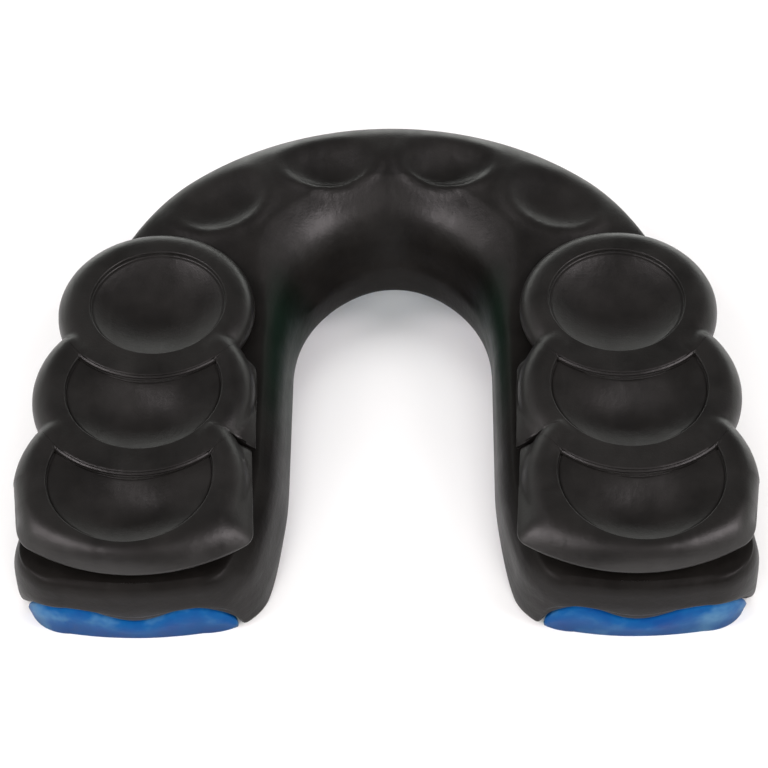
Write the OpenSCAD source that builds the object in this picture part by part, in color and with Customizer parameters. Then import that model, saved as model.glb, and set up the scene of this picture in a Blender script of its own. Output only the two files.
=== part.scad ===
// Boil-and-bite boxing mouthguard: a black rubber frame with six overlapping bite pads
// and a gel liner that takes the upper teeth. It is shown bite side up, as it lies on a table.
// The shape is drawn in a bite frame (x across, y to the front, z square to the bite plane,
// z = 0 at the pads' rims), and place() tips that frame so that the object rests on z = 0.

/* [Arch outline] */
// Outer radius of the front arch
arch_r = 31; // [29:0.5:33]
// Front-to-back place of the arch centre
arch_y = 1.8; // [1:0.1:3]
// Angle at which each arm splays outwards
arm_splay = 7.5; // [6:0.5:10]
// Back face of the arms
rear_y = -25.6; // [-27:0.1:-24]
// Radius of the outer back corners
outer_corner_r = 4.5; // [3:0.5:6]
// Radius of the inner back corners
inner_corner_r = 4.5; // [4:0.5:7]
// Bulge of the back face between its corners
back_bulge = 0.6; // [0.3:0.1:1]

/* [Tongue opening] */
// Half of the gap between the arms
gap_half = 10; // [9:0.1:10.5]
// Depth of the rounded front of the gap
gap_front = 14.3; // [12:0.1:16]
// Place where that rounded front ends
gap_y = 4.1; // [2:0.1:5]
// Place behind which the gap starts to widen
flare_y = -10; // [-12:0.5:-8]
// Radius at which it widens
flare_r = 40; // [34:1:48]

/* [Heights below the pads' rims] */
// Lip under the pads
lip_h = 2; // [1.5:0.1:2.5]
// Deck of the frame that carries the pads
deck_h = 3.1; // [3:0.1:3.5]
// Ceiling of the frame's channel
channel_h = 4.6; // [4.4:0.1:5.5]
// Floor of the tooth channel in the gel
tooth_h = 6.3; // [6:0.1:7]
// Back ends of the gel
rear_h = 11.1; // [10.5:0.1:12]
// Labial flange at the front
labial_h = 20; // [17:0.5:22]
// Inner wall along the arms
lingual_h = 10.2; // [9.5:0.1:11]
// Inner wall at the front
lingual_front_h = 12; // [11:0.1:13]

/* [Walls] */
// Outer wall of the frame
frame_wall = 2.3; // [2:0.1:3]
// Inner wall of the frame
inner_wall = 1.9; // [1.6:0.1:2.2]
// Back wall of the frame
end_wall = 2; // [1.5:0.1:2.5]
// Gel on both sides of the teeth
gel_wall = 1.5; // [1.4:0.1:2]
// Gap between the frame and the gel
bond_gap = 0.03; // [0.02:0.01:0.05]

/* [Bite pads] */
// Rim radii from front to rear
pad_r = [9.8, 10.5, 10.7]; // [9:0.1:11.5]
// Dish radii from front to rear
dish_r = [6.8, 7.5, 7.6]; // [6:0.1:8.5]
// Pad centres on the right arm
pad_at = [[22.3, 6.5], [23.15, -4.4], [24, -15]]; // [-26:0.1:26]
// Depth of the step round each dish
dish_step = 0.8; // [0.5:0.1:1]
// Depth of each bowl below its step
bowl_depth = 1.4; // [1:0.1:1.5]

/* [Hidden] */
$fn = 96;

// Counts of steps round one half of the outline, from the front centre to the back face
n_arc = 14;
n_arm = 4;
n_corner = 5;
n_end = 7;
n_half = n_arc + n_arm + n_corner + n_end;
n_loop = 4 * n_half;
end_mid_x = 23.3;

// The table's plane in the bite frame, which touches the labial flange and the back ends
front_y = arch_y + arch_r;
floor_slope = (labial_h - rear_h) / (front_y - rear_y);
tilt = atan(floor_slope);
rest_z = rear_h * cos(tilt) - rear_y * sin(tilt);
rest_y = -4.82;

function floor_w(y) = -rear_h - floor_slope * (y - rear_y);
function mix2(a, b, s) = a + (b - a) * s;
function ease(s) = let (c = min(1, max(0, s))) c * c * (3 - 2 * c);

// ---- Outline of the band in plan. j counts steps, t is the inset from the outline, e the inset of the back face.

function arc_point(c, r, a) = [c[0] + r * cos(a), c[1] + r * sin(a)];
function end_point(x, e, s) = [mix2(x, end_mid_x, s), rear_y + e - back_bulge * (1 - pow(1 - s, 2))];
function outer_corner(t, e) =
    let (q = max(1, outer_corner_r - min(t, e)), y = rear_y + e + q)
    [(arch_r - t - q - (y - arch_y) * sin(arm_splay)) / cos(arm_splay), y, q];
function inner_corner(t, e) =
    let (q = max(1, inner_corner_r - min(t, e)), y = rear_y + e + q, s = flare_r - t - q)
    [gap_half + flare_r - sqrt(s * s - pow(flare_y - y, 2)), y, q];

function outer_point(j, t, e) =
    let (c = outer_corner(t, e), a1 = n_arc + n_arm, a2 = a1 + n_corner)
    j <= n_arc ? arc_point([0, arch_y], arch_r - t, mix2(90, arm_splay, j / n_arc)) :
    j <= a1 ? mix2(
        arc_point([0, arch_y], arch_r - t, arm_splay),
        arc_point(c, c[2], arm_splay), (j - n_arc) / n_arm) :
    j <= a2 ? arc_point(c, c[2], mix2(arm_splay, -90, (j - a1) / n_corner)) :
    end_point(arc_point(c, c[2], -90)[0], e, (j - a2) / n_end);

function inner_point(j, t, e) =
    let (
        c = inner_corner(t, e), a1 = n_arc + n_arm, a2 = a1 + n_corner,
        turn = asin((flare_y - c[1]) / (flare_r - t - c[2])),
        arc = 90 - 90 * j / n_arc)
    j <= n_arc ? [(gap_half + t) * cos(arc), gap_y + (gap_front + t) * sin(arc)] :
    j <= a1 ? arc_point([gap_half + flare_r, flare_y], flare_r - t, 180 + turn * (j - n_arc - 1) / (n_arm - 1)) :
    j <= a2 ? arc_point(c, c[2], mix2(180 + turn, 270, (j - a1) / n_corner)) :
    end_point(arc_point(c, c[2], 270)[0], e, (j - a2) / n_end);

// ---- Blends along the outline

// 1 at the front arch, 0 on the arms
function frontness(j) = ease((n_arc - 1 - j) / 6);
// How far the frame's lower edge is raised over the gel's back end: two humps with a dip between them
gel_show = 4.2;
gel_dip = 1.3;
function end_lift(j) =
    let (u = min(1, (n_half - j) / (n_end + n_corner)))
    gel_show * (1 - pow(u, 5)) - gel_dip * pow(cos(90 * min(1, 2 * u)), 2);

// Notch for the lip tie in the middle of the labial flange
notch_h = 2.4;
notch_half = 5;
function notch(x) = notch_h * pow(cos(min(90, 90 * abs(x) / notch_half)), 2);

// Lower edge of the band without that lift
function outer_rim(p) = floor_w(p[1]) + notch(p[0]);
function inner_rim(p) = mix2(
    max(-mix2(lingual_h, lingual_front_h, ease((p[1] - gap_y) / gap_front)), floor_w(p[1])),
    floor_w(p[1]), ease((flare_y - 6 - p[1]) / 8));

// ---- Closed loops round the band. A level holds its insets and heights:
// [outer inset on the arms, at the front, inner inset on the arms, at the front, back inset, mode, two values].
// Mode "at" gives the height on the arms and at the front. Mode "frame" gives the lift above the lower edge of
// the frame. Mode "gel" gives the lift above that edge at the sides and the clearance below it on the back face.

gel_tuck = 0.9;
function under_end(j) = ease((end_lift(j) - gel_tuck - 0.1) / 0.7);

function level_height(j, l, rim) =
    l[5] == "at" ? mix2(l[6], l[7], frontness(j)) :
    l[5] == "frame" ? rim + l[6] + end_lift(j) :
    l[5] == "foot" ? rim + l[6] * (1 - under_end(j)) :
    rim + max(l[6], end_lift(j) - l[7]);

function level_point(j, l, outer) =
    let (
        f = frontness(j),
        side = outer ? mix2(l[0], l[1], f) : mix2(l[2], l[3], f),
        t = l[4] < side ? mix2(side, l[4], under_end(j)) : side,
        p = outer ? outer_point(j, t, l[4]) : inner_point(j, t, l[4]),
        rim = outer ? outer_rim(p) : inner_rim(p))
    [p[0], p[1], level_height(j, l, rim)];

function mirrored(p) = [-p[0], p[1], p[2]];

// Order: left back face, left outer side, front, right outer side, right back face, then the inner side back
function loop_points(l) = concat(
    [for (j = [n_half:-1:1]) mirrored(level_point(j, l, true))],
    [for (j = [0:n_half]) level_point(j, l, true)],
    [for (j = [n_half - 1:-1:0]) level_point(j, l, false)],
    [for (j = [1:n_half - 1]) mirrored(level_point(j, l, false))]);

// Rows that close the top of a stack of loops: row r of m lies between loop points i and n_loop - i
function cap_rows(top, rise) = [
    for (r = [1:len(rise)]) for (i = [1:n_loop / 2 - 1])
        let (
            p = top[i], q = top[n_loop - i], s = r / (len(rise) + 1),
            f = frontness(abs(i - n_half)))
        [mix2(p[0], q[0], s), mix2(p[1], q[1], s), mix2(mix2(p[2], q[2], s), rise[r - 1], f)]];

function strip(a, b) = [for (i = [0:n_loop - 1])
    let (k = (i + 1) % n_loop) each [[a + i, a + k, b + k], [a + i, b + k, b + i]]];

// Faces of the cap over the loop that starts at index top, with m rows that start at index rows
function cap_index(top, rows, m, r, i) =
    i == 0 || i == n_loop / 2 || r == 0 ? top + i :
    r == m + 1 ? top + n_loop - i : rows + (r - 1) * (n_loop / 2 - 1) + i - 1;
function cap_faces(top, rows, m) = [
    for (r = [0:m]) for (i = [0:n_loop / 2 - 1])
        let (
            a = cap_index(top, rows, m, r, i), b = cap_index(top, rows, m, r, i + 1),
            c = cap_index(top, rows, m, r + 1, i + 1), d = cap_index(top, rows, m, r + 1, i))
        each i == 0 ? [[a, b, c]] : i == n_loop / 2 - 1 ? [[a, b, d]] : [[a, b, c], [a, c, d]]];

function flipped(faces) = [for (f = faces) [f[2], f[1], f[0]]];

// A shell: outside loops from the rim up, closed by a crest, and inside loops from the rim up, closed by a ceiling
module shell(outside, inside, crest) {
    n_out = len(outside);
    n_in = len(inside);
    out_points = [for (l = outside) each loop_points(l)];
    in_points = [for (l = inside) each loop_points(l)];
    crest_points = cap_rows(loop_points(outside[n_out - 1]), crest);
    in_start = n_out * n_loop;
    crest_start = in_start + n_in * n_loop;
    polyhedron(
        points = concat(out_points, in_points, crest_points),
        faces = concat(
            [for (k = [0:n_out - 2]) each strip(k * n_loop, (k + 1) * n_loop)],
            cap_faces((n_out - 1) * n_loop, crest_start, len(crest)),
            flipped(strip(0, in_start)),
            flipped([for (k = [0:n_in - 2]) each strip(in_start + k * n_loop, in_start + (k + 1) * n_loop)]),
            flipped(cap_faces(in_start + (n_in - 1) * n_loop, crest_start, 0))));
}

// ---- Frame

module frame_band() {
    shell(
        outside = [
            [0.4, 0.5, 0.4, 0.4, 0.4, "frame", 0, 0],
            [-0.3, 0, 0, 0, 0, "frame", 0.8, 0],
            [0.1, 0, 0.4, 0.8, -0.2, "at", -6.9, -8],
            [0.6, 0.1, 1.4, 2, 0, "at", -4.3, -4],
            [1.3, 1, 2, 3.2, 0.9, "at", -deck_h, -2.1]],
        inside = [
            [frame_wall, frame_wall, inner_wall, inner_wall, end_wall, "frame", 0, 0],
            [frame_wall, frame_wall, inner_wall + 1, inner_wall + 1.2, end_wall, "at", -channel_h, -channel_h]],
        crest = [-1, -0.5, -0.5, -1.2]);
}

// Four shallow finger-like dimples on the front arch, at these angles from the front
dimple_angles = [-38, -12.5, 12.5, 38];
dimple_r = 5.4;
dimple_from_edge = 6.2;
module dimples() {
    for (a = dimple_angles)
        translate([0, arch_y, 0]) rotate([0, 0, -a])
            translate([0, arch_r - dimple_from_edge, dimple_r - 2.3]) sphere(dimple_r);
}

module pad_seat() {
    translate([pad_at[0][0], pad_at[0][1], -deck_h]) cylinder(r = pad_r[0] + bond_gap, h = 10);
}

module frame_shell() {
    color([0.07, 0.07, 0.07]) place() difference() {
        frame_band();
        dimples();
        pad_seat();
        mirror([1, 0, 0]) pad_seat();
    }
}

// ---- Gel liner

module gel_liner() {
    out = frame_wall + bond_gap;
    in = inner_wall + bond_gap;
    back = end_wall + bond_gap;
    color([0.12, 0.37, 0.7]) place() shell(
        outside = [
            [out + 0.5, out + 0.5, in + 0.5, in + 0.5, 0.5, "foot", 0.4, 0],
            [out, out, in, in, 0.1, "gel", gel_tuck, 0.13],
            [out, out, in, in, back, "gel", gel_tuck + 0.1, 0.03],
            [out, out, in + 1, in + 1.2, back, "at", -channel_h - bond_gap, -channel_h - bond_gap]],
        inside = [
            [out + gel_wall, out + gel_wall, in + gel_wall, in + gel_wall, back + gel_wall, "foot", 0.4, 0],
            [out + gel_wall + 0.6, out + gel_wall + 0.3, in + gel_wall + 0.9, in + gel_wall + 0.6,
                back + gel_wall + 0.8, "at", -tooth_h, -tooth_h]],
        crest = []);
}

// ---- Bite pads

neck_in = 1.2;
ledge = 0.4;

// Half section of a pad's outside: neck, lip and rounded rim, with its axis at x = 0
module pad_section(k) {
    translate([0, -deck_h]) square([pad_r[k] - neck_in, deck_h - lip_h / 2]);
    translate([0, -lip_h]) square([pad_r[k] - lip_h, lip_h]);
    intersection() {
        translate([pad_r[k] - lip_h, -lip_h]) circle(r = lip_h);
        translate([0, -lip_h]) square([pad_r[k], lip_h]);
    }
}

// Dish in a pad: a step round it, a narrow ledge, and a bowl
module dish(k) {
    chord = dish_r[k] - ledge;
    bowl_r = (chord * chord + bowl_depth * bowl_depth) / (2 * bowl_depth);
    translate([0, 0, -dish_step]) cylinder(r = dish_r[k], h = 2 * dish_step);
    translate([0, 0, bowl_r - bowl_depth - dish_step]) sphere(bowl_r);
}

// Plate under a pad's round rim, with corners that spread towards the back
corner_in = 13;
corner_out = 10.4;
back_bow = 20;
back_reach = 0.15;
module pad_plate(k) {
    translate([0, 0, -lip_h]) linear_extrude(1) intersection() {
        polygon([[0.5 - pad_r[k], 2], [pad_r[k] - 0.5, 2], [corner_out, -12], [-corner_in, -12]]);
        translate([0, back_bow - pad_r[k] - back_reach]) circle(r = back_bow);
    }
}

module pad_at_place(k) {
    translate([pad_at[k][0], pad_at[k][1], 0]) children();
}

module pad_blank(k) {
    pad_at_place(k) difference() {
        union() {
            rotate_extrude() pad_section(k);
            pad_plate(k);
        }
        dish(k);
    }
}

module pad(k) {
    color([0.08, 0.08, 0.08]) place() difference() {
        pad_blank(k);
        if (k > 0) pad_at_place(k - 1) translate([0, 0, -6]) cylinder(r = pad_r[k - 1] + bond_gap, h = 12);
    }
}

module place() {
    translate([0, rest_y, rest_z]) rotate([tilt, 0, 0]) children();
}

module left() {
    mirror([1, 0, 0]) children();
}

frame_shell();
gel_liner();
left() pad(0);  // left_front_pad
left() pad(1);  // left_middle_pad
left() pad(2);  // left_rear_pad
pad(0);  // right_front_pad
pad(1);  // right_middle_pad
pad(2);  // right_rear_pad
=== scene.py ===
"""Looks for the boil-and-bite mouthguard: rubber frame, gel liner and six dished bite pads.

Shapes are worked out in millimetres in the bite frame: x across, y to the front of the arch, w square to the
bite plane with w = 0 at the pads' rims. place() tips them onto the table, in metres, as the CAD does.
"""
from math import asin, atan, atan2, cos, exp, hypot, pi, radians, sin, sqrt

import bmesh
import bpy
import numpy as np
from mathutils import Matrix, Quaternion, Vector


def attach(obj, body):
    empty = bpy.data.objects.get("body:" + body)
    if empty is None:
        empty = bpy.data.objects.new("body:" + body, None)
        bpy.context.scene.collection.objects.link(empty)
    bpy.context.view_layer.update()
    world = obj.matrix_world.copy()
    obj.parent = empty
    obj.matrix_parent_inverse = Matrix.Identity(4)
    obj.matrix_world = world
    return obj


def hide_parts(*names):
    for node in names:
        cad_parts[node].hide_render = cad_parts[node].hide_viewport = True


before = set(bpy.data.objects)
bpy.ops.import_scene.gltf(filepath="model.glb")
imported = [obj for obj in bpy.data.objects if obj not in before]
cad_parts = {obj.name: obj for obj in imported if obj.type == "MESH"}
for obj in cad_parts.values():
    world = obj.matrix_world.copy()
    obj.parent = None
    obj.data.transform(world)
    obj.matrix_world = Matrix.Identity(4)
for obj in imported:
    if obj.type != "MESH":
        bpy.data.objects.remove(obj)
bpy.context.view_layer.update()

# ---- Driving sizes: the CAD's, with a rounder inner back corner and pads fitted closer to the photograph

ARCH_R, ARCH_Y, SPLAY = 31.0, 1.8, radians(7.5)
REAR_Y, BACK_BULGE = -25.6, 0.6
OUTER_CORNER, INNER_CORNER = 4.5, 6.0
GAP_HALF, GAP_FRONT, GAP_Y, FLARE_Y, FLARE_R = 10.0, 14.3, 4.1, -10.0, 40.0
REAR_H, LABIAL_H, LINGUAL_H, LINGUAL_FRONT_H = 11.1, 20.0, 10.2, 12.0
DECK, CEILING, TOOTH = -3.1, -4.6, -6.3
FRAME_WALL, INNER_WALL, END_WALL, GEL_WALL, BOND = 2.3, 1.9, 2.0, 1.5, 0.03
END_MID = 23.3

# Centres and radii of the pads' rims and of the dishes in them, from front to rear
PADS = [(22.85, 6.85), (23.45, -3.95), (23.95, -14.9)]
PAD_R = [9.75, 10.75, 11.05]
DISHES = [(22.6, 6.6), (23.3, -4.3), (23.9, -14.9)]
DISH_R = [6.75, 7.6, 7.9]

SLOPE = (LABIAL_H - REAR_H) / (ARCH_Y + ARCH_R - REAR_Y)
TILT = atan(SLOPE)
REST_Y = -4.82
REST_Z = REAR_H * cos(TILT) - REAR_Y * sin(TILT)

# Shift of the inner walls to the right: it ends at a half width, after fading, and grows below a height
LEAN = 0.45
LEAN_HALF, LEAN_FADE = 21, 7
LEAN_TOP, LEAN_GROW = -3.5, 6

# The notch for the lip tie, and the extra width of the arms at their back
NOTCH_H, NOTCH_HALF = 2.4, 5.0
REAR_FLARE = 0.55

# The frame's lower edge over the gel's back end: its rise, the dip in the middle, and the shares of the end,
# on the outer and on the inner side, that the rise takes
EDGE_RISE, EDGE_DIP = 4.5, 1.65
RISE_OUTER, RISE_INNER = 0.93, 0.77
# Rise at which the gel's end starts to be open, and the further rise until it is fully open
OPEN_FROM, OPEN_OVER = 0.5, 0.8
# Where the inner wall starts to come down to the table, and the length that this takes
LOW_FROM, LOW_OVER = FLARE_Y - 5, 7
# Share of the arc where the front shapes end, and the share before it that they fade over
FRONT_END, FRONT_FADE = 0.93, 0.43

# Steps round half of the band, from the front centre: arc, arm, corner and half of the back face
N_ARC, N_ARM, N_CORNER, N_END = 130, 26, 28, 32
ARM_END = N_ARC + N_ARM
CORNER_END = ARM_END + N_CORNER
N_HALF = CORNER_END + N_END
# Share of the inner side's arm that is straight, before it flares
STRAIGHT = 0.4

# Points closer than these, in metres, are merged; edges sharper than this angle stay sharp on the pads
SHELL_WELD, PAD_WELD, SHARP = 2e-5, 1e-5, radians(55)


def lean(points):
    """The walls of the tongue opening stand a little to the right lower down."""
    inner = np.clip((LEAN_HALF - np.abs(points[..., 0])) / LEAN_FADE, 0, 1)
    low = np.clip((LEAN_TOP - points[..., 2]) / LEAN_GROW, 0, 1)
    points[..., 0] += LEAN * inner * low
    return points


def place(points):
    """Bite-frame millimetres to the resting frame in metres."""
    p = np.asarray(points, float)
    y = p[..., 1] * cos(TILT) - p[..., 2] * sin(TILT) + REST_Y
    z = p[..., 1] * sin(TILT) + p[..., 2] * cos(TILT) + REST_Z
    return np.stack([p[..., 0], y, z], -1) * 0.001


def ease(s):
    """A smooth step from 0 at s = 0 to 1 at s = 1."""
    s = min(1.0, max(0.0, s))
    return s * s * (3 - 2 * s)


def mix(a, b, s):
    return a + (b - a) * s


def smooth_max(a, b, k):
    """The larger of a and b, rounded where they are less than k apart."""
    h = np.clip(0.5 + 0.5 * (a - b) / k, 0, 1)
    return b + (a - b) * h + k * h * (1 - h)


# ---- Outline of the band in plan, at step j, inset t from the sides and e from the back

def share(j, first, count):
    return (j - first) / count


def on_circle(c, r, a):
    return (c[0] + r * cos(a), c[1] + r * sin(a))


def end_point(x, e, s):
    return (mix(x, END_MID, s), REAR_Y + e - BACK_BULGE * (1 - (1 - s) ** 2))


def outer_point(j, t, e):
    q = max(1.0, OUTER_CORNER - min(t, e))
    cy = REAR_Y + e + q
    c = ((ARCH_R - t - q - (cy - ARCH_Y) * sin(SPLAY)) / cos(SPLAY), cy)
    if j <= N_ARC:
        return on_circle((0, ARCH_Y), ARCH_R - t, mix(pi / 2, SPLAY, share(j, 0, N_ARC)))
    if j <= ARM_END:
        p = on_circle((0, ARCH_Y), ARCH_R - t, SPLAY)
        r = on_circle(c, q, SPLAY)
        s = share(j, N_ARC, N_ARM)
        return (mix(p[0], r[0], s), mix(p[1], r[1], s))
    if j <= CORNER_END:
        return on_circle(c, q, mix(SPLAY, -pi / 2, share(j, ARM_END, N_CORNER)))
    return end_point(c[0], e, share(j, CORNER_END, N_END))


def inner_point(j, t, e):
    q = max(1.0, INNER_CORNER - min(t, e))
    cy = REAR_Y + e + q
    s = FLARE_R - t - q
    c = (GAP_HALF + FLARE_R - sqrt(s * s - (FLARE_Y - cy) ** 2), cy)
    turn = asin((FLARE_Y - cy) / s)
    if j <= N_ARC:
        a = (1 - share(j, 0, N_ARC)) * pi / 2
        return ((GAP_HALF + t) * cos(a), GAP_Y + (GAP_FRONT + t) * sin(a))
    if j <= ARM_END:
        s = share(j, N_ARC, N_ARM)
        if s < STRAIGHT:
            return (GAP_HALF + t, mix(GAP_Y, FLARE_Y, s / STRAIGHT))
        a = pi + turn * (s - STRAIGHT) / (1 - STRAIGHT)
        return on_circle((GAP_HALF + FLARE_R, FLARE_Y), FLARE_R - t, a)
    if j <= CORNER_END:
        return on_circle(c, q, mix(pi + turn, 1.5 * pi, share(j, ARM_END, N_CORNER)))
    return end_point(c[0], e, share(j, CORNER_END, N_END))


def frontness(j):
    """1 on the front arch, 0 on the arms."""
    return ease((N_ARC * FRONT_END - j) / (N_ARC * FRONT_FADE))


def end_lift(j, outer):
    """How far the frame's lower edge is raised over the gel's back end: two humps with a dip between."""
    u = (N_HALF - j) / (N_END + N_CORNER)
    fade = min(1.0, u / (RISE_OUTER if outer else RISE_INNER)) ** 7
    return EDGE_RISE * (1 - fade) - EDGE_DIP * cos(pi / 2 * min(1.0, 2 * u)) ** 2


def under_end(j, outer):
    """1 where the lower edge is raised, 0 where it is not."""
    return ease((end_lift(j, outer) - OPEN_FROM) / OPEN_OVER)


def rear_flare(j):
    """Extra width of the outer side towards its back corner."""
    return REAR_FLARE * ease((j - N_ARC) / N_ARM)


def floor_w(y):
    """Height of the table under a place, in the bite frame."""
    return -REAR_H - SLOPE * (y - REAR_Y)


def outer_rim(p):
    """Height of the lower edge of the outer wall, before its rise at the back end."""
    notch = NOTCH_H * cos(pi / 2 * min(1.0, abs(p[0]) / NOTCH_HALF)) ** 2
    return floor_w(p[1]) + (notch if p[1] > 0 else 0.0)


def inner_rim(p):
    """Height of the lower edge of the inner wall, which comes down to the table towards the back."""
    low = floor_w(p[1])
    wall = max(-mix(LINGUAL_H, LINGUAL_FRONT_H, ease((p[1] - GAP_Y) / GAP_FRONT)), low)
    return mix(wall, low, ease((LOW_FROM - p[1]) / LOW_OVER))


def level(j, spec, outer):
    """One control point: spec = (outer insets, inner insets, back inset, mode, a, b).

    Each pair of insets is for the arms and the front. The mode sets the height. "at" is a on the arms and b
    at the front. "frame" is a above the lower edge, with its rise at the back end. "foot" is a above that
    edge without the rise, and comes down to it under the rise. "gel" is b below the raised edge, but at least
    a above it without the rise. "part" is a share b of the way from the raised edge up to a.
    """
    out_t, in_t, e, mode, a, b = spec
    f = frontness(j)
    side = mix(*(out_t if outer else in_t), f)
    if outer:
        side -= rear_flare(j)
    end, lift = under_end(j, outer), end_lift(j, outer)
    turn = end if mode in ("gel", "foot") else ease((j - ARM_END) / N_CORNER)
    t = mix(side, e, turn) if e < side else side
    x, y = outer_point(j, t, e) if outer else inner_point(j, t, e)
    rim = outer_rim((x, y)) if outer else inner_rim((x, y))
    if mode == "at":
        w = mix(a, b, f)
    elif mode == "part":
        w = mix(rim + lift, a, b)
    elif mode == "frame":
        w = rim + a + lift
    elif mode == "foot":
        w = rim + a * (1 - end)
    else:
        w = rim + max(a, lift - b)
    return (x, y, w)


def sections(levels, crest):
    """Control points of every section, from the left back end round the front to the right back end.

    Each section runs up the outer side, over the crest and down the inner side. Each crest point is a share
    of the way across, with its heights on the arms and at the front.
    """
    rows = []
    for j in range(N_HALF, -1, -1):
        out = [level(j, s, True) for s in levels]
        inn = [level(j, s, False) for s in levels]
        p, q = out[-1], inn[-1]
        f = frontness(j)
        mid = []
        for s, arm, front in crest:
            mid.append((mix(p[0], q[0], s), mix(p[1], q[1], s), mix(arm, front, f)))
        rows.append(out + mid + inn[::-1])
    half = np.array(rows)
    left = half.copy()
    left[:, :, 0] *= -1
    return np.concatenate([left, half[-2::-1]], 0)


def spline(control, sub):
    """Catmull-Rom through the control points along axis 1, sub steps a span."""
    before = 2 * control[:, :1] - control[:, 1:2]
    after = 2 * control[:, -1:] - control[:, -2:-1]
    p = np.concatenate([before, control, after], 1)
    out = []
    for i in range(control.shape[1] - 1):
        a, b, c, d = p[:, i], p[:, i + 1], p[:, i + 2], p[:, i + 3]
        for k in range(sub):
            t = k / sub
            out.append(0.5 * (2 * b + (c - a) * t + (2 * a - 5 * b + 4 * c - d) * t * t
                              + (3 * b - a - 3 * c + d) * t ** 3))
    out.append(control[:, -1])
    return np.stack(out, 1)


def grid_faces(n, m, start=0, flip=False):
    """Quads of an n by m grid of points, numbered from start."""
    out = []
    for i in range(n - 1):
        for k in range(m - 1):
            a = start + i * m + k
            quad = (a, a + m, a + m + 1, a + 1)
            out.append(quad[::-1] if flip else quad)
    return out


def make_object(name, points, faces):
    """A smooth-shaded mesh object in the scene."""
    mesh = bpy.data.meshes.new(name)
    mesh.from_pydata([tuple(p) for p in points], [], faces)
    mesh.validate()
    mesh.shade_smooth()
    obj = bpy.data.objects.new(name, mesh)
    bpy.context.scene.collection.objects.link(obj)
    return obj


def weld(obj, distance):
    """Merge doubled points, drop flat faces and point every face outwards."""
    bm = bmesh.new()
    bm.from_mesh(obj.data)
    bmesh.ops.remove_doubles(bm, verts=bm.verts, dist=distance)
    bmesh.ops.dissolve_degenerate(bm, edges=bm.edges, dist=distance * 0.5)
    bmesh.ops.recalc_face_normals(bm, faces=bm.faces)
    bm.to_mesh(obj.data)
    bm.free()
    obj.data.shade_smooth()


def build_shell(name, outside, inside):
    """A closed wall between an outer and an inner sweep, joined along their lower edges."""
    n, m, k = outside.shape[0], outside.shape[1], inside.shape[1]
    points = np.concatenate([outside.reshape(-1, 3), inside.reshape(-1, 3)])
    faces = grid_faces(n, m) + grid_faces(n, k, n * m, True)
    for i in range(n - 1):
        a, b = i * m, n * m + i * k
        faces.append((a, b, b + k, a + m))
        a, b = a + m - 1, b + k - 1
        faces.append((a, a + m, b + k, b))
    obj = make_object(name, place(lean(points)), faces)
    weld(obj, SHELL_WELD)
    return obj


# ---- Rubber frame

# Place, half sizes and turn of the finger dimples on the right half of the crest
DIMPLES = [(6.3, 26.9, 4.8, 3.5, radians(8)), (17.3, 21.7, 4.9, 4.1, radians(30))]
DIMPLE_DEEP = 1.75
# Height, radius and width of the fine ridge round a dimple's crisp side
RIDGE_H, RIDGE_AT, RIDGE_WIDE = 0.17, 1.14, 0.14
# Height above which the frame's top carries the dimples, and the height that they grow over
CREST_W, CREST_GROW = -4.5, 1.5
# Rounding of the frame's lower edge, and the height above it where its inside starts
EDGE_ROUND, EDGE_INSIDE = 0.4, 0.35


def dimple_drop(x, y):
    """Depth of the finger dimples on the crest: crisp towards the tongue, fading towards the lips."""
    drop = np.zeros_like(x)
    for cx, cy, a, b, turn in DIMPLES:
        u = (np.abs(x) - cx) * cos(turn) - (y - cy) * sin(turn)
        v = (np.abs(x) - cx) * sin(turn) + (y - cy) * cos(turn)
        rho = np.sqrt((u / a) ** 2 + (v / b) ** 2)
        crisp = np.clip(0.5 - 0.6 * v / b, 0, 1)
        cup = np.clip(1 - rho ** 2, 0, 1)
        drop += DIMPLE_DEEP * mix(cup ** 2, cup, crisp) * np.clip(0.54 - 0.5 * v / b, 0, 1)
        drop -= RIDGE_H * crisp * np.exp(-((rho - RIDGE_AT) / RIDGE_WIDE) ** 2)
    return drop


def build_frame():
    # From inside the lower edge, up the outer and inner sides, to the crest
    skin = [
        ((0.5, 0.6), (0.45, 0.5), 0.5, "frame", 0, 0),
        ((0.05, 0.1), (0.05, 0.1), 0.12, "frame", 0.25, 0),
        ((-0.2, 0.0), (0.0, 0.0), 0.0, "frame", 0.9, 0),
        ((-0.2, 0.0), (0.1, 0.25), -0.1, "part", -6.0, 0.5),
        ((-0.1, 0.0), (0.45, 0.75), -0.15, "at", -6.0, -7.8),
        ((0.1, 0.0), (0.9, 1.6), -0.05, "at", -4.8, -5.6),
        ((0.35, 0.04), (1.4, 2.8), 0.08, "at", -4.0, -3.6),
        ((0.7, 0.2), (1.9, 4.4), 0.4, "at", -3.4, -2.3),
        ((1.2, 0.9), (2.4, 6.3), 0.9, "at", -3.12, -1.35),
    ]
    crest = [(0.2, DECK, -0.62), (0.45, DECK, -0.55), (0.7, DECK, -0.72), (0.9, DECK, -1.1)]
    outside = spline(sections(skin, crest), 4)
    top = np.clip((outside[..., 2] - CREST_W) / CREST_GROW, 0, 1)
    outside[..., 2] -= dimple_drop(outside[..., 0], outside[..., 1]) * top
    out, inn, back, cut = FRAME_WALL, INNER_WALL, END_WALL, EDGE_ROUND
    inner = [
        ((out - cut, out - cut - 0.1), (inn - cut, inn - cut), back - cut, "frame", 0, 0),
        ((out, out), (inn, inn), back, "frame", EDGE_INSIDE, 0),
        ((out, out), (inn + 1, inn + 1.2), back, "at", CEILING, CEILING),
    ]
    inside = spline(sections(inner, [(0.5, CEILING, CEILING)]), 1)
    return build_shell("rubber_frame", outside, inside)


# ---- Gel liner

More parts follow.
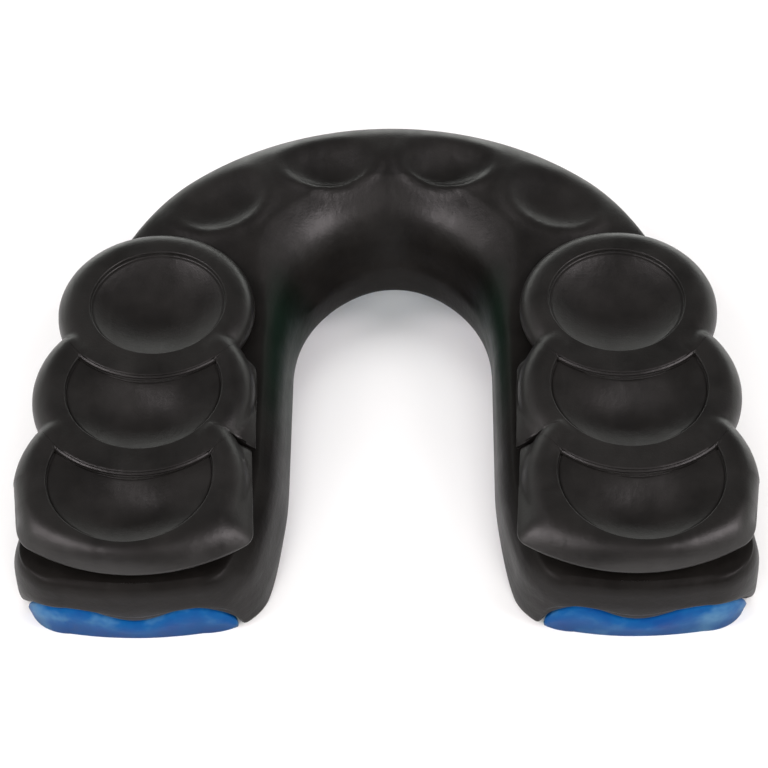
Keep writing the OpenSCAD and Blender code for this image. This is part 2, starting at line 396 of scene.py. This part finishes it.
def build_gel():
    out, inn, back = FRAME_WALL + BOND, INNER_WALL + BOND, END_WALL + BOND
    top = CEILING - BOND
    # From the gel's lower edge, up between the frame's walls
    skin = [
        ((out + 0.6, out + 0.6), (inn + 0.6, inn + 0.6), 0.75, "foot", 0.4, 0),
        ((out + 0.25, out + 0.25), (inn + 0.25, inn + 0.25), 0.3, "foot", 0.5, 0),
        ((out, out), (inn, inn), 0.12, "gel", 0.75, 1.2),
        ((out, out), (inn, inn), 0.18, "gel", 0.85, 0.4),
        ((out, out), (inn, inn), 0.35, "gel", 0.95, 0.14),
        ((out, out), (inn, inn), back, "gel", 1.0, 0.05),
        ((out, out), (inn + 1, inn + 1.2), back, "at", top, top),
    ]
    far, near, end = out + GEL_WALL, inn + GEL_WALL, back + GEL_WALL
    # The channel for the teeth, from its mouth up to its rounded ceiling
    tooth = [
        ((out + 1.2, out + 1.2), (inn + 1.2, inn + 1.2), back + 1.1, "foot", 0.4, 0),
        ((far, far), (near, near), end, "foot", 0.8, 0),
        ((far + 0.3, far + 0.2), (near + 0.5, near + 0.3), end + 0.4, "at", TOOTH - 0.6, TOOTH - 0.6),
        ((far + 0.9, far + 0.7), (near + 1.2, near + 0.9), end + 1.0, "at", TOOTH, TOOTH),
    ]
    outside = spline(sections(skin, [(0.5, top, top)]), 1)
    inside = spline(sections(tooth, [(0.5, TOOTH, TOOTH)]), 1)
    return build_shell("gel", outside, inside)


# ---- Bite pads

# Width and fall of a rim's rounded edge, and the height of the lip below it
RIM_ROUND, RIM_DROP, LIP = 2.3, 1.9, -2.0
# Power of the rim's rounding, and how steeply its height goes on down outside the edge
RIM_POWER, OUTSIDE_SLOPE = 2.3, 2.5
# A hair's width, which keeps faces of pads that meet from coinciding
HAIR = 0.02
# Depth of the step round each dish, and of its bowl below the step
STEP, BOWL = 0.28, 1.75
# Power of each bowl's curve, and of its wall beside the pad before it
BOWL_POWER, WALL_POWER = [0.9, 0.85, 0.85], 1.7
# How wide a bowl's wall is beside the pad before it: at its middle, and what is added to the sides
BOWL_WALL, BOWL_SPREAD = 2.5, 0.12
# How far behind the dish's centre a covered bowl's spokes start, and how far inside its edge they end
BOWL_BACK, BOWL_END = 2.8, 0.5
# Heights of a flange beyond the rim, at its start and its end
FLANGE_TOP, FLANGE_LOW = -1.0, -1.95
# Ridge on the front part of a rim: height, distance outside the dish, width
RISE, RISE_AT, RISE_WIDE = 0.22, 1.7, 1.1
# Angle past which a rim runs up over the pad before it, and how far it falls at its tips
TIP_TURN, TIP_FALL = radians(80), 1.8
# Rounding between rims that meet
RIM_BLEND = 0.3
# Width, height and hollow of the bead along the edge of the pad before
BEAD_W, BEAD_TOP, BEAD_HOLLOW = 0.42, -0.12, 0.13
# Drop of the rim's last bit above the next pad
FILLET = 0.07
# Half angle within which the next pad covers the foot of a rim, and the angle that this fades over
FLAT_TURN, FLAT_FADE = radians(40), radians(20)
# Half angle that the rear pad's drape is limited to, and the angle before it that it fades over
DRAPE_TURN, DRAPE_FADE = radians(88), radians(38)
# Skirts under the rims of the middle and rear pads, as points from the pad's centre
SKIRT_IN = [None, ((-10.8, 3.0), (-11.1, -7.1)), ((-11.15, 5.5), (-11.8, -6.45))]
SKIRT_OUT = ((11.0, -0.1), (10.15, -6.3))
SKIRT_END, SKIRT_START = radians(58.5), radians(118)
# Angle in radians that each inner skirt grows over
SKIRT_GROW = [None, 0.25, 0.15]
# Rounding between a skirt and its rim, and of the rear pad's inner and outer corners
SKIRT_BLEND, CORNER_IN, CORNER_OUT = 0.5, 0.9, 1.2
# Centre and radius of the rear pad's back lip
NEAR_LIP = (-0.85, 7.5, 17.7)
# A distance past every outline
FAR = 99.0
# Spokes round a pad: along the free rim, on each side of the bead and along it
N_FREE, N_SIDE, N_BEAD = 230, 14, 90


def polar(p, c):
    """Distance from c, and angle measured from straight back, outwards."""
    dx, dy = p[0] - c[0], p[1] - c[1]
    return hypot(dx, dy), atan2(dx, -dy)


def from_polar(c, r, a):
    """The point at distance r and angle a, measured as polar() does."""
    return (c[0] + r * sin(a), c[1] - r * cos(a))


def ray_to_line(a, p, q):
    """Distance along the ray at angle a to the line through p and q."""
    ux, uy = sin(a), -cos(a)
    nx, ny = -(q[1] - p[1]), q[0] - p[0]
    d = ux * nx + uy * ny
    hit = (p[0] * nx + p[1] * ny) / d if abs(d) > 1e-6 else FAR
    return hit if hit > 0 else FAR


def ray_to_circle(a, cx, cy, r):
    """Distance along the ray at angle a to the far side of a circle."""
    b = cx * sin(a) - cy * cos(a)
    return b + sqrt(max(0.0, b * b - cx * cx - cy * cy + r * r))


def soft_min(a, b, k):
    return float(-smooth_max(-a, -b, k))


def reach(k, a):
    """Distance from the centre of pad k to its outline at lip level."""
    r = PAD_R[k]
    skirt = r
    if k > 0 and -SKIRT_START < a < 0:
        grown = ease((a + SKIRT_START) / SKIRT_GROW[k])
        line = ray_to_line(a, *SKIRT_IN[k])
        skirt = r + grown * (float(smooth_max(line, r, SKIRT_BLEND)) - r)
    if k < 2:
        return skirt if a < -SKIRT_END else r
    near = ray_to_circle(a, *NEAR_LIP) if abs(a) < pi / 2 else FAR
    if a < 0:
        return soft_min(near, skirt, CORNER_IN)
    side = ray_to_line(a, *SKIRT_OUT) if a < pi / 2 else r
    return soft_min(near, side, CORNER_OUT)


def edge_drop(d, wide):
    """Fall of a rim at distance d inside its outer edge, and on down beyond it."""
    s = min(1.0, max(0.0, 1 - d / wide))
    return -RIM_DROP * (1 - sqrt(max(0.0, 1 - s ** RIM_POWER))) + OUTSIDE_SLOPE * min(0.0, d)


def near_flat(k, a):
    """1 where the pad behind covers the foot of pad k's rim, so that the rim stays level."""
    return 1 - ease((abs(a) - FLAT_TURN) / FLAT_FADE) if k < 2 else 0.0


def drape(k, r, a, out):
    """Height of the near side of the last pad, which slopes all the way down to the lip."""
    start = DISH_R[k] + 0.2 + 1.5 * ease((abs(a) - 0.5) / 0.9)
    s = min(1.2, max(0.0, (r - start) / (out - start)))
    return FLANGE_LOW * s ** 2.5


def ring(k, p):
    """Height of pad k's own rounded rim, with a flange where the outline is wider than the rim.

    On the middle and rear pads it runs up over the pad before it and ends in two tips.
    """
    r, a = polar(p, PADS[k])
    out = reach(k, a)
    edge = min(PAD_R[k], out)
    h = edge_drop(edge - r, min(RIM_ROUND, edge - DISH_R[k] - 0.25))
    if out > edge:
        s = min(1.0, max(0.0, (r - edge + 0.5) / (out - edge + 0.5)))
        flange = mix(FLANGE_TOP, FLANGE_LOW, s)
        h = mix(h, float(smooth_max(h, flange, 0.4)), ease((out - edge) / 0.5))
    if k == 2:
        h = mix(h, drape(k, r, a, out), ease((DRAPE_TURN - abs(a)) / DRAPE_FADE))
    if k > 0:
        side = abs(a) - TIP_TURN
        ridge = exp(-((r - DISH_R[k] - RISE_AT) / RISE_WIDE) ** 2)
        tip = ease((side - radians(42)) / radians(30)) ** 1.5
        h += RISE * ridge * ease(side / radians(35)) - TIP_FALL * tip
        h -= ease((DISH_R[k] - 0.1 - r) / 1.4)
    return h


def level_rim(k, p):
    """The rim of pad k, which stays level at its foot, where the next pad covers its edge."""
    r, a = polar(p, PADS[k])
    return mix(ring(k, p), 0.0, near_flat(k, a) if r < PAD_R[k] + 0.05 else 0.0)


def rim_height(k, p):
    """Height of pad k's top outside its dish, blended with the rims of the pads beside it."""
    h = level_rim(k, p)
    if k < 2 and p[1] < PADS[k][1]:
        h = float(smooth_max(h, ring(k + 1, p), RIM_BLEND))
    if k > 0 and p[1] > PADS[k][1] + 2:
        h = float(smooth_max(h, level_rim(k - 1, p), RIM_BLEND))
    return max(h, LIP + HAIR)


def bowl_height(k, p):
    """Height inside pad k's dish, which is shallow along the pad before it."""
    r = polar(p, DISHES[k])[0]
    u = max(0.0, 1 - (r / DISH_R[k]) ** 2)
    if k == 0:
        return -STEP - BOWL * u ** BOWL_POWER[k]
    d = max(0.0, polar(p, PADS[k - 1])[0] - PAD_R[k - 1] - BEAD_W)
    wide = BOWL_WALL + BOWL_SPREAD * (p[0] - DISHES[k][0]) ** 2
    return -STEP - BOWL * u ** BOWL_POWER[k] * (1 - exp(-(d / wide) ** WALL_POWER))


def circle_hit(c0, r0, c1, r1, sign):
    """One crossing of two circles; sign picks the +x or -x one."""
    dx, dy = c1[0] - c0[0], c1[1] - c0[1]
    gap = hypot(dx, dy)
    a = (r0 * r0 - r1 * r1 + gap * gap) / (2 * gap)
    h = sqrt(max(0.0, r0 * r0 - a * a))
    mx, my = c0[0] + a * dx / gap, c0[1] + a * dy / gap
    p = (mx + h * dy / gap, my - h * dx / gap)
    q = (mx - h * dy / gap, my + h * dx / gap)
    return max(p, q) if sign > 0 else min(p, q)


def spokes(k):
    """The point that pad k's spokes start from, and each one's point at the dish's edge, point at the outline
    and kind: "rim", or "bead" and "side" where the outline is the edge of the pad before."""
    c, dish = PADS[k], DISHES[k]
    rows = []
    if k == 0:
        for i in range(N_FREE):
            a = 2 * pi * i / N_FREE - pi
            rows.append((from_polar(dish, DISH_R[0], a), from_polar(c, reach(0, a), a), "rim"))
        return dish, rows
    b, br = PADS[k - 1], PAD_R[k - 1] + HAIR
    hooks = [circle_hit(dish, DISH_R[k], b, br + BEAD_W, s) for s in (-1, 1)]
    ends = [circle_hit(c, PAD_R[k] - HAIR, b, br, s) for s in (-1, 1)]
    hook_a = [polar(h, b)[1] for h in hooks]
    end_a = [polar(e, b)[1] for e in ends]
    for i in range(N_SIDE):
        rows.append((hooks[0], from_polar(b, br, mix(end_a[0], hook_a[0], i / N_SIDE)), "side"))
    for i in range(N_BEAD + 1):
        a = mix(hook_a[0], hook_a[1], i / N_BEAD)
        rows.append((from_polar(b, br + BEAD_W, a), from_polar(b, br, a), "bead"))
    for i in range(1, N_SIDE + 1):
        rows.append((hooks[1], from_polar(b, br, mix(hook_a[1], end_a[1], i / N_SIDE)), "side"))
    d0, d1 = polar(hooks[1], dish)[1], polar(hooks[0], dish)[1]
    r0, r1 = polar(ends[1], c)[1], polar(ends[0], c)[1]
    for i in range(1, N_FREE):
        a = mix(r0, r1, i / N_FREE)
        inner = from_polar(dish, DISH_R[k], mix(d0, d1, i / N_FREE))
        rows.append((inner, from_polar(c, reach(k, a), a), "rim"))
    return (dish[0], dish[1] - BOWL_BACK), rows


def toward(p, q, d):
    """The point d from p on the way to q."""
    gap = hypot(q[0] - p[0], q[1] - p[1])
    s = d / gap if gap > 1e-6 else 0.0
    return (mix(p[0], q[0], s), mix(p[1], q[1], s))


N_BOWL = 20
BOWL_SHARES = [sin(pi / 2 * i / N_BOWL) for i in range(N_BOWL + 1)]
# Distance inside the dish's edge, and how much of the step has been climbed there (below 0: the groove)
EDGE_STEPS = [(0.44, 0), (0.3, -0.06), (0.2, -0.3), (0.12, -0.2), (0.09, 0.4), (0.05, 0.85), (0.0, 1)]
# Shares of the way from the dish to the outline, closer together towards both
RIM_SHARES = [0.03, 0.07, 0.14, 0.22, 0.31, 0.4, 0.49, 0.58, 0.66, 0.74, 0.81, 0.87, 0.92, 0.96, 0.985, 1.0]
# Value of near_flat() past which the wall has no undercut, since the next pad covers it
COVERED = 0.02
# Undercut of the lip: distance back under it, and height from it, down to the deck
UNDER = [(0.0, -0.1), (0.06, -0.22), (0.5, -0.36), (0.95, -0.5), (1.2, -0.75), (1.25, DECK - LIP)]


def bowl_part(k, centre, inner):
    """The bowl, from its middle to just inside the dish's edge."""
    end = toward(inner, centre, BOWL_END)
    part = []
    for s in BOWL_SHARES:
        p = (mix(centre[0], end[0], s), mix(centre[1], end[1], s))
        part.append((*p, bowl_height(k, p)))
    return part


def step_part(k, centre, inner, top):
    """The step from the bowl up to the height top at the dish's edge."""
    part = []
    for back, climb in EDGE_STEPS:
        p = toward(inner, centre, back)
        foot = bowl_height(k, p)
        part.append((*p, mix(foot, top, climb) if climb > 0 else foot + climb * STEP))
    return part


def rim_part(k, inner, outer, kind):
    """The rim, or the bead along the pad before, from the dish's edge to the outline."""
    a = polar(outer, PADS[k])[1]
    fillet = FILLET if kind == "rim" and k < 2 and abs(a) < FLAT_TURN else 0.0
    part = []
    for s in RIM_SHARES:
        p = (mix(inner[0], outer[0], s), mix(inner[1], outer[1], s))
        if kind == "bead":
            h = BEAD_TOP - BEAD_HOLLOW * sin(pi * s)
        else:
            h = mix(0.0, rim_height(k, p), ease(s * 4)) - fillet * ease((s - 0.95) * 20)
        part.append((*p, h))
    return part


def wall_part(k, outer, kind, start):
    """The wall at the outline from the height start down to the deck, straight or back under the lip."""
    a = polar(outer, PADS[k])[1]
    part = []
    for i, (back, fall) in enumerate(UNDER):
        if kind != "rim" or near_flat(k, a) > COVERED:
            part.append((*outer, mix(start - 0.06, DECK + HAIR, i / (len(UNDER) - 1))))
        else:
            part.append((*toward(outer, PADS[k], back), min(start, LIP) + fall))
    return part


def pad_points(k):
    """Columns of points, one for each spoke, from the middle of the bowl to the deck."""
    centre, rows = spokes(k)
    columns = []
    for inner, outer, kind in rows:
        column = bowl_part(k, centre, inner)
        column += step_part(k, centre, inner, BEAD_TOP if kind == "bead" else 0.0)
        column += rim_part(k, inner, outer, kind)
        column += wall_part(k, outer, kind, column[-1][2])
        columns.append(column)
    return np.array(columns)


def build_pad(name, k, side):
    """Pad k, counted from the front, on the right arm for side 1 and mirrored to the left for side -1."""
    cols = pad_points(k)
    n, m = cols.shape[:2]
    points = cols.reshape(-1, 3).copy()
    points[:, 0] *= side
    faces = []
    for i in range(n):
        a, b = i * m, (i + 1) % n * m
        for j in range(m - 1):
            faces.append((a + j, a + j + 1, b + j + 1, b + j))
    base = [i * m + m - 1 for i in range(n)]
    middle = points[base].mean(0)
    points = np.concatenate([points, [middle]])
    for i in range(n):
        faces.append((base[i], len(points) - 1, base[(i + 1) % n]))
    obj = make_object(name, place(points), faces)
    weld(obj, PAD_WELD)
    obj.data.set_sharp_from_angle(angle=SHARP)
    return obj


# ---- Materials. Node depths are in metres and noise scales in cells per metre.

def grey(value):
    return (value, value, value)


class Nodes:
    """A material's node tree, with short calls for the nodes used here."""

    def __init__(self, name):
        self.mat = bpy.data.materials.new(name)
        self.mat.use_nodes = True
        self.tree = self.mat.node_tree
        self.shader = self.tree.nodes["Principled BSDF"]

    def link(self, out, socket):
        self.tree.links.new(out, socket)

    def set(self, name, value):
        """Give one of the shader's inputs a value, or the output of another node."""
        self.feed(self.shader.inputs[name], value)

    def feed(self, socket, value):
        if hasattr(value, "links"):
            self.link(value, socket)
        else:
            socket.default_value = value

    def axes(self):
        """Object coordinates in metres, as the outputs X, Y and Z."""
        node = self.tree.nodes.new("ShaderNodeSeparateXYZ")
        self.link(self.place(), node.inputs["Vector"])
        return node.outputs

    def ramp(self, fac, stops):
        node = self.tree.nodes.new("ShaderNodeValToRGB")
        self.link(fac, node.inputs["Fac"])
        ramp = node.color_ramp
        while len(ramp.elements) < len(stops):
            ramp.elements.new(0.5)
        for el, (pos, col) in zip(ramp.elements, stops):
            el.position = pos
            el.color = (*col, 1)
        return node.outputs["Color"]

    def mixed(self, fac, a, b):
        """Colour a, going over to colour b where fac is 1."""
        node = self.tree.nodes.new("ShaderNodeMix")
        node.data_type = "RGBA"
        for value, socket in ((fac, node.inputs[0]), (a, node.inputs[6]), (b, node.inputs[7])):
            self.feed(socket, (*value, 1) if isinstance(value, tuple) else value)
        return node.outputs[2]

    def math(self, op, a, b=0.0):
        node = self.tree.nodes.new("ShaderNodeMath")
        node.operation = op
        self.feed(node.inputs[0], a)
        self.feed(node.inputs[1], b)
        return node.outputs[0]

    def noise(self, scale, detail, rough=0.55, vector=None):
        node = self.tree.nodes.new("ShaderNodeTexNoise")
        node.inputs["Scale"].default_value = scale
        node.inputs["Detail"].default_value = detail
        node.inputs["Roughness"].default_value = rough
        self.link(vector or self.place(), node.inputs["Vector"])
        return node.outputs["Fac"]

    def place(self, scale=(1, 1, 1)):
        coords = self.tree.nodes.new("ShaderNodeTexCoord")
        mapping = self.tree.nodes.new("ShaderNodeMapping")
        mapping.inputs["Scale"].default_value = scale
        self.link(coords.outputs["Object"], mapping.inputs["Vector"])
        return mapping.outputs["Vector"]

    def bump(self, parts):
        """Bumps on bumps: parts is a list of (height, depth in metres)."""
        normal = None
        for height, depth in parts:
            node = self.tree.nodes.new("ShaderNodeBump")
            node.inputs["Strength"].default_value = 1.0
            node.inputs["Distance"].default_value = depth
            self.link(height, node.inputs["Height"])
            if normal is not None:
                self.link(normal, node.inputs["Normal"])
            normal = node.outputs["Normal"]
        self.set("Normal", normal)


# Colours of the rubber, from dark to light, and of the painted green sheen beside the tongue opening, a
# reflection painted into the colour
BLACK_LOW, BLACK_HIGH = (0.0034, 0.0029, 0.0026), (0.0074, 0.0065, 0.0058)
PAINTED_GREEN_SHEEN, PAINTED_SHEEN_SHARE = (0.0025, 0.0098, 0.0056), 0.8
# Gloss of the pads, and of the frame low down and on its crest
PAD_GLOSS, LOW_GLOSS, CREST_GLOSS = 0.54, 0.16, 0.62
# Height and half width that the frame's gloss and painted green sheen run over, and the painted sheen's start
# and length along it
SHADE_SPAN, PAINTED_SHEEN_START, PAINTED_SHEEN_LONG = 0.02, -0.012, 0.03


def painted_sheen_mask(m, axes):
    """The share of painted green sheen on the walls of the tongue opening, fading out towards front, back and
    sides.
    """
    off = m.math("ABSOLUTE", axes["X"])
    inner = m.ramp(m.math("MULTIPLY", off, 1 / SHADE_SPAN), [(0.56, grey(1)), (0.62, grey(0))])
    behind = m.math("MULTIPLY", m.math("SUBTRACT", axes["Y"], PAINTED_SHEEN_START), 1 / PAINTED_SHEEN_LONG)
    along = m.ramp(behind, [(0.0, grey(0)), (0.3, grey(1)), (0.55, grey(1)), (0.74, grey(0))])
    return m.math("MULTIPLY", m.math("MULTIPLY", inner, along), PAINTED_SHEEN_SHARE)


def rubber(name, of_frame):
    """Satin black rubber. The frame's is glossier on its crest and has a green sheen painted into its colour
    beside the opening.
    """
    m = Nodes(name)
    cloud = m.noise(180, 4, 0.6)
    fine = m.noise(4200, 3, 0.6)
    streak = m.noise(260, 3, 0.6, m.place((1, 0.18, 1)))
    base = m.ramp(cloud, [(0.3, BLACK_LOW), (0.7, BLACK_HIGH)])
    gloss = PAD_GLOSS
    if of_frame:
        axes = m.axes()
        height = m.math("MULTIPLY", axes["Z"], 1 / SHADE_SPAN)
        gloss = m.ramp(height, [(0.6, grey(LOW_GLOSS)), (0.86, grey(CREST_GLOSS))])
        # The green here is a painted sheen: a reflection painted into the base colour
        base = m.mixed(painted_sheen_mask(m, axes), base, PAINTED_GREEN_SHEEN)
    m.set("Base Color", base)
    m.set("Specular IOR Level", gloss)
    m.set("Roughness", m.ramp(m.mixed(0.5, cloud, streak), [(0.32, grey(0.33)), (0.68, grey(0.54))]))
    m.bump([(streak, 0.00012), (cloud, 0.00008), (fine, 0.000014)])
    return m.mat


# Colours of the gel, from its clear blue to its milky patches
GEL_DEEP, GEL_MID, GEL_MILKY = (0.0006, 0.04, 0.17), (0.002, 0.062, 0.2), (0.06, 0.155, 0.27)


def gel_material(name):
    """Milky blue gel, lit a little from within."""
    m = Nodes(name)
    cloud = m.noise(260, 3)
    fine = m.noise(2500, 2, 0.5)
    m.set("Base Color", m.ramp(cloud, [(0.32, GEL_DEEP), (0.5, GEL_MID), (0.7, GEL_MILKY)]))
    m.set("Roughness", m.ramp(cloud, [(0.3, grey(0.34)), (0.7, grey(0.5))]))
    m.bump([(cloud, 0.00015), (fine, 0.00001)])
    m.set("Specular IOR Level", 0.06)
    m.set("Subsurface Weight", 0.15)
    m.set("Subsurface Radius", (0.3, 0.6, 1.0))
    m.set("Subsurface Scale", 0.002)
    return m.mat


def floor_material():
    m = Nodes("pale_floor")
    haze = m.noise(3, 2)
    m.set("Base Color", m.ramp(haze, [(0.3, grey(0.93)), (0.7, grey(0.96))]))
    m.set("Roughness", 0.9)
    m.set("Specular IOR Level", 0.1)
    return m.mat


# ---- Pieces

def settle(obj, material, node):
    """Give a piece its material, attach it to the root body and hide the CAD node that it stands for."""
    obj.data.materials.clear()
    obj.data.materials.append(material)
    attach(obj, "root")
    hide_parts(node)


frame_rubber = rubber("black_frame_rubber", True)
pad_rubber = rubber("black_pad_rubber", False)
settle(build_frame(), frame_rubber, "frame_shell")
settle(build_gel(), gel_material("blue_gel"), "gel_liner")
for side_name, side in (("left", -1), ("right", 1)):
    for k, where in enumerate(("front", "middle", "rear")):
        pad = build_pad(f"{side_name}_{where}_bite_pad", k, side)
        settle(pad, pad_rubber, f"{side_name}_{where}_pad")


# ---- Floor, lights and camera

# What every light faces
LIT_AT = Vector((0, 0, 0.008))


def softbox(name, azimuth, height, away, size, glow, colour):
    """A rectangular light of a given radiance, at an azimuth from the arch's front and a height angle."""
    data = bpy.data.lights.new(name, "AREA")
    data.shape = "RECTANGLE"
    data.size, data.size_y = size
    data.energy = glow * pi * size[0] * size[1]
    data.color = colour
    a, h = radians(azimuth), radians(height)
    obj = bpy.data.objects.new(name, data)
    obj.location = (away * sin(a) * cos(h), away * cos(a) * cos(h), away * sin(h))
    obj.rotation_euler = (LIT_AT - obj.location).to_track_quat("-Z", "Y").to_euler()
    bpy.context.scene.collection.objects.link(obj)
    return obj


# The walls give the long low reflections, and the boxes the highlights, from the viewer's left and right
WALL_WHITE, SIDE_WHITE, BOX_PINK = (0.98, 1.0, 0.96), (0.98, 1.0, 0.94), (1.0, 0.92, 0.94)
softbox("back_wall", 0, 12, 0.8, (1.9, 0.36), 2.3, WALL_WHITE)
softbox("left_wall", -88, 12, 0.8, (1.2, 0.3), 0.8, SIDE_WHITE)
softbox("right_wall", 88, 12, 0.8, (1.2, 0.3), 0.8, SIDE_WHITE)
softbox("left_box", -118, 42, 0.78, (0.34, 0.34), 8.6, BOX_PINK)
softbox("right_box", 116, 42, 0.78, (0.34, 0.34), 8.6, BOX_PINK)

# The fills whiten the floor, and don't show in the rubber's gloss
floor_fill = softbox("floor_fill", 0, 80, 0.7, (0.5, 0.5), 1.8, (0.99, 1.0, 1.0))
near_fill = softbox("near_fill", 180, 30, 0.8, (0.7, 0.4), 7.0, (1.0, 1.0, 0.98))
for light in (floor_fill, near_fill):
    light.visible_glossy = False

FLOOR_HALF = 3
corners = [(-1, -1), (1, -1), (1, 1), (-1, 1)]
floor_mesh = bpy.data.meshes.new("floor")
floor_mesh.from_pydata([(FLOOR_HALF * x, FLOOR_HALF * y, 0) for x, y in corners], [], [(0, 1, 2, 3)])
floor = bpy.data.objects.new("floor", floor_mesh)
floor.data.materials.append(floor_material())
bpy.context.scene.collection.objects.link(floor)

world = bpy.data.worlds.new("studio")
world.use_nodes = True
background = world.node_tree.nodes["Background"]
background.inputs["Color"].default_value = (1.0, 1.0, 1.0, 1)
background.inputs["Strength"].default_value = 0.1
bpy.context.scene.world = world

# The photograph's view: elevation, azimuth, roll, and distance in millimetres of the bite frame
VIEW_UP, VIEW_SIDE, VIEW_ROLL, VIEW_FAR = radians(50), radians(1.7), radians(1.3), 260.0
target = np.array([-0.31, 0.0, -5.0])
look = np.array([-sin(VIEW_SIDE) * cos(VIEW_UP), cos(VIEW_SIDE) * cos(VIEW_UP), -sin(VIEW_UP)])
eye_at, look_at = place([target - VIEW_FAR * look, target])
camera_data = bpy.data.cameras.new("camera")
camera_data.lens = 124.0
camera_data.sensor_width = 36.0
camera_data.clip_start = 0.01
camera = bpy.data.objects.new("camera", camera_data)
camera.location = eye_at
aim = (Vector(look_at) - Vector(eye_at)).to_track_quat("-Z", "Y")
camera.rotation_euler = (aim @ Quaternion((0, 0, 1), -VIEW_ROLL)).to_euler()
bpy.context.scene.collection.objects.link(camera)
bpy.context.scene.camera = camera
bpy.context.scene.view_settings.view_transform = "Standard"
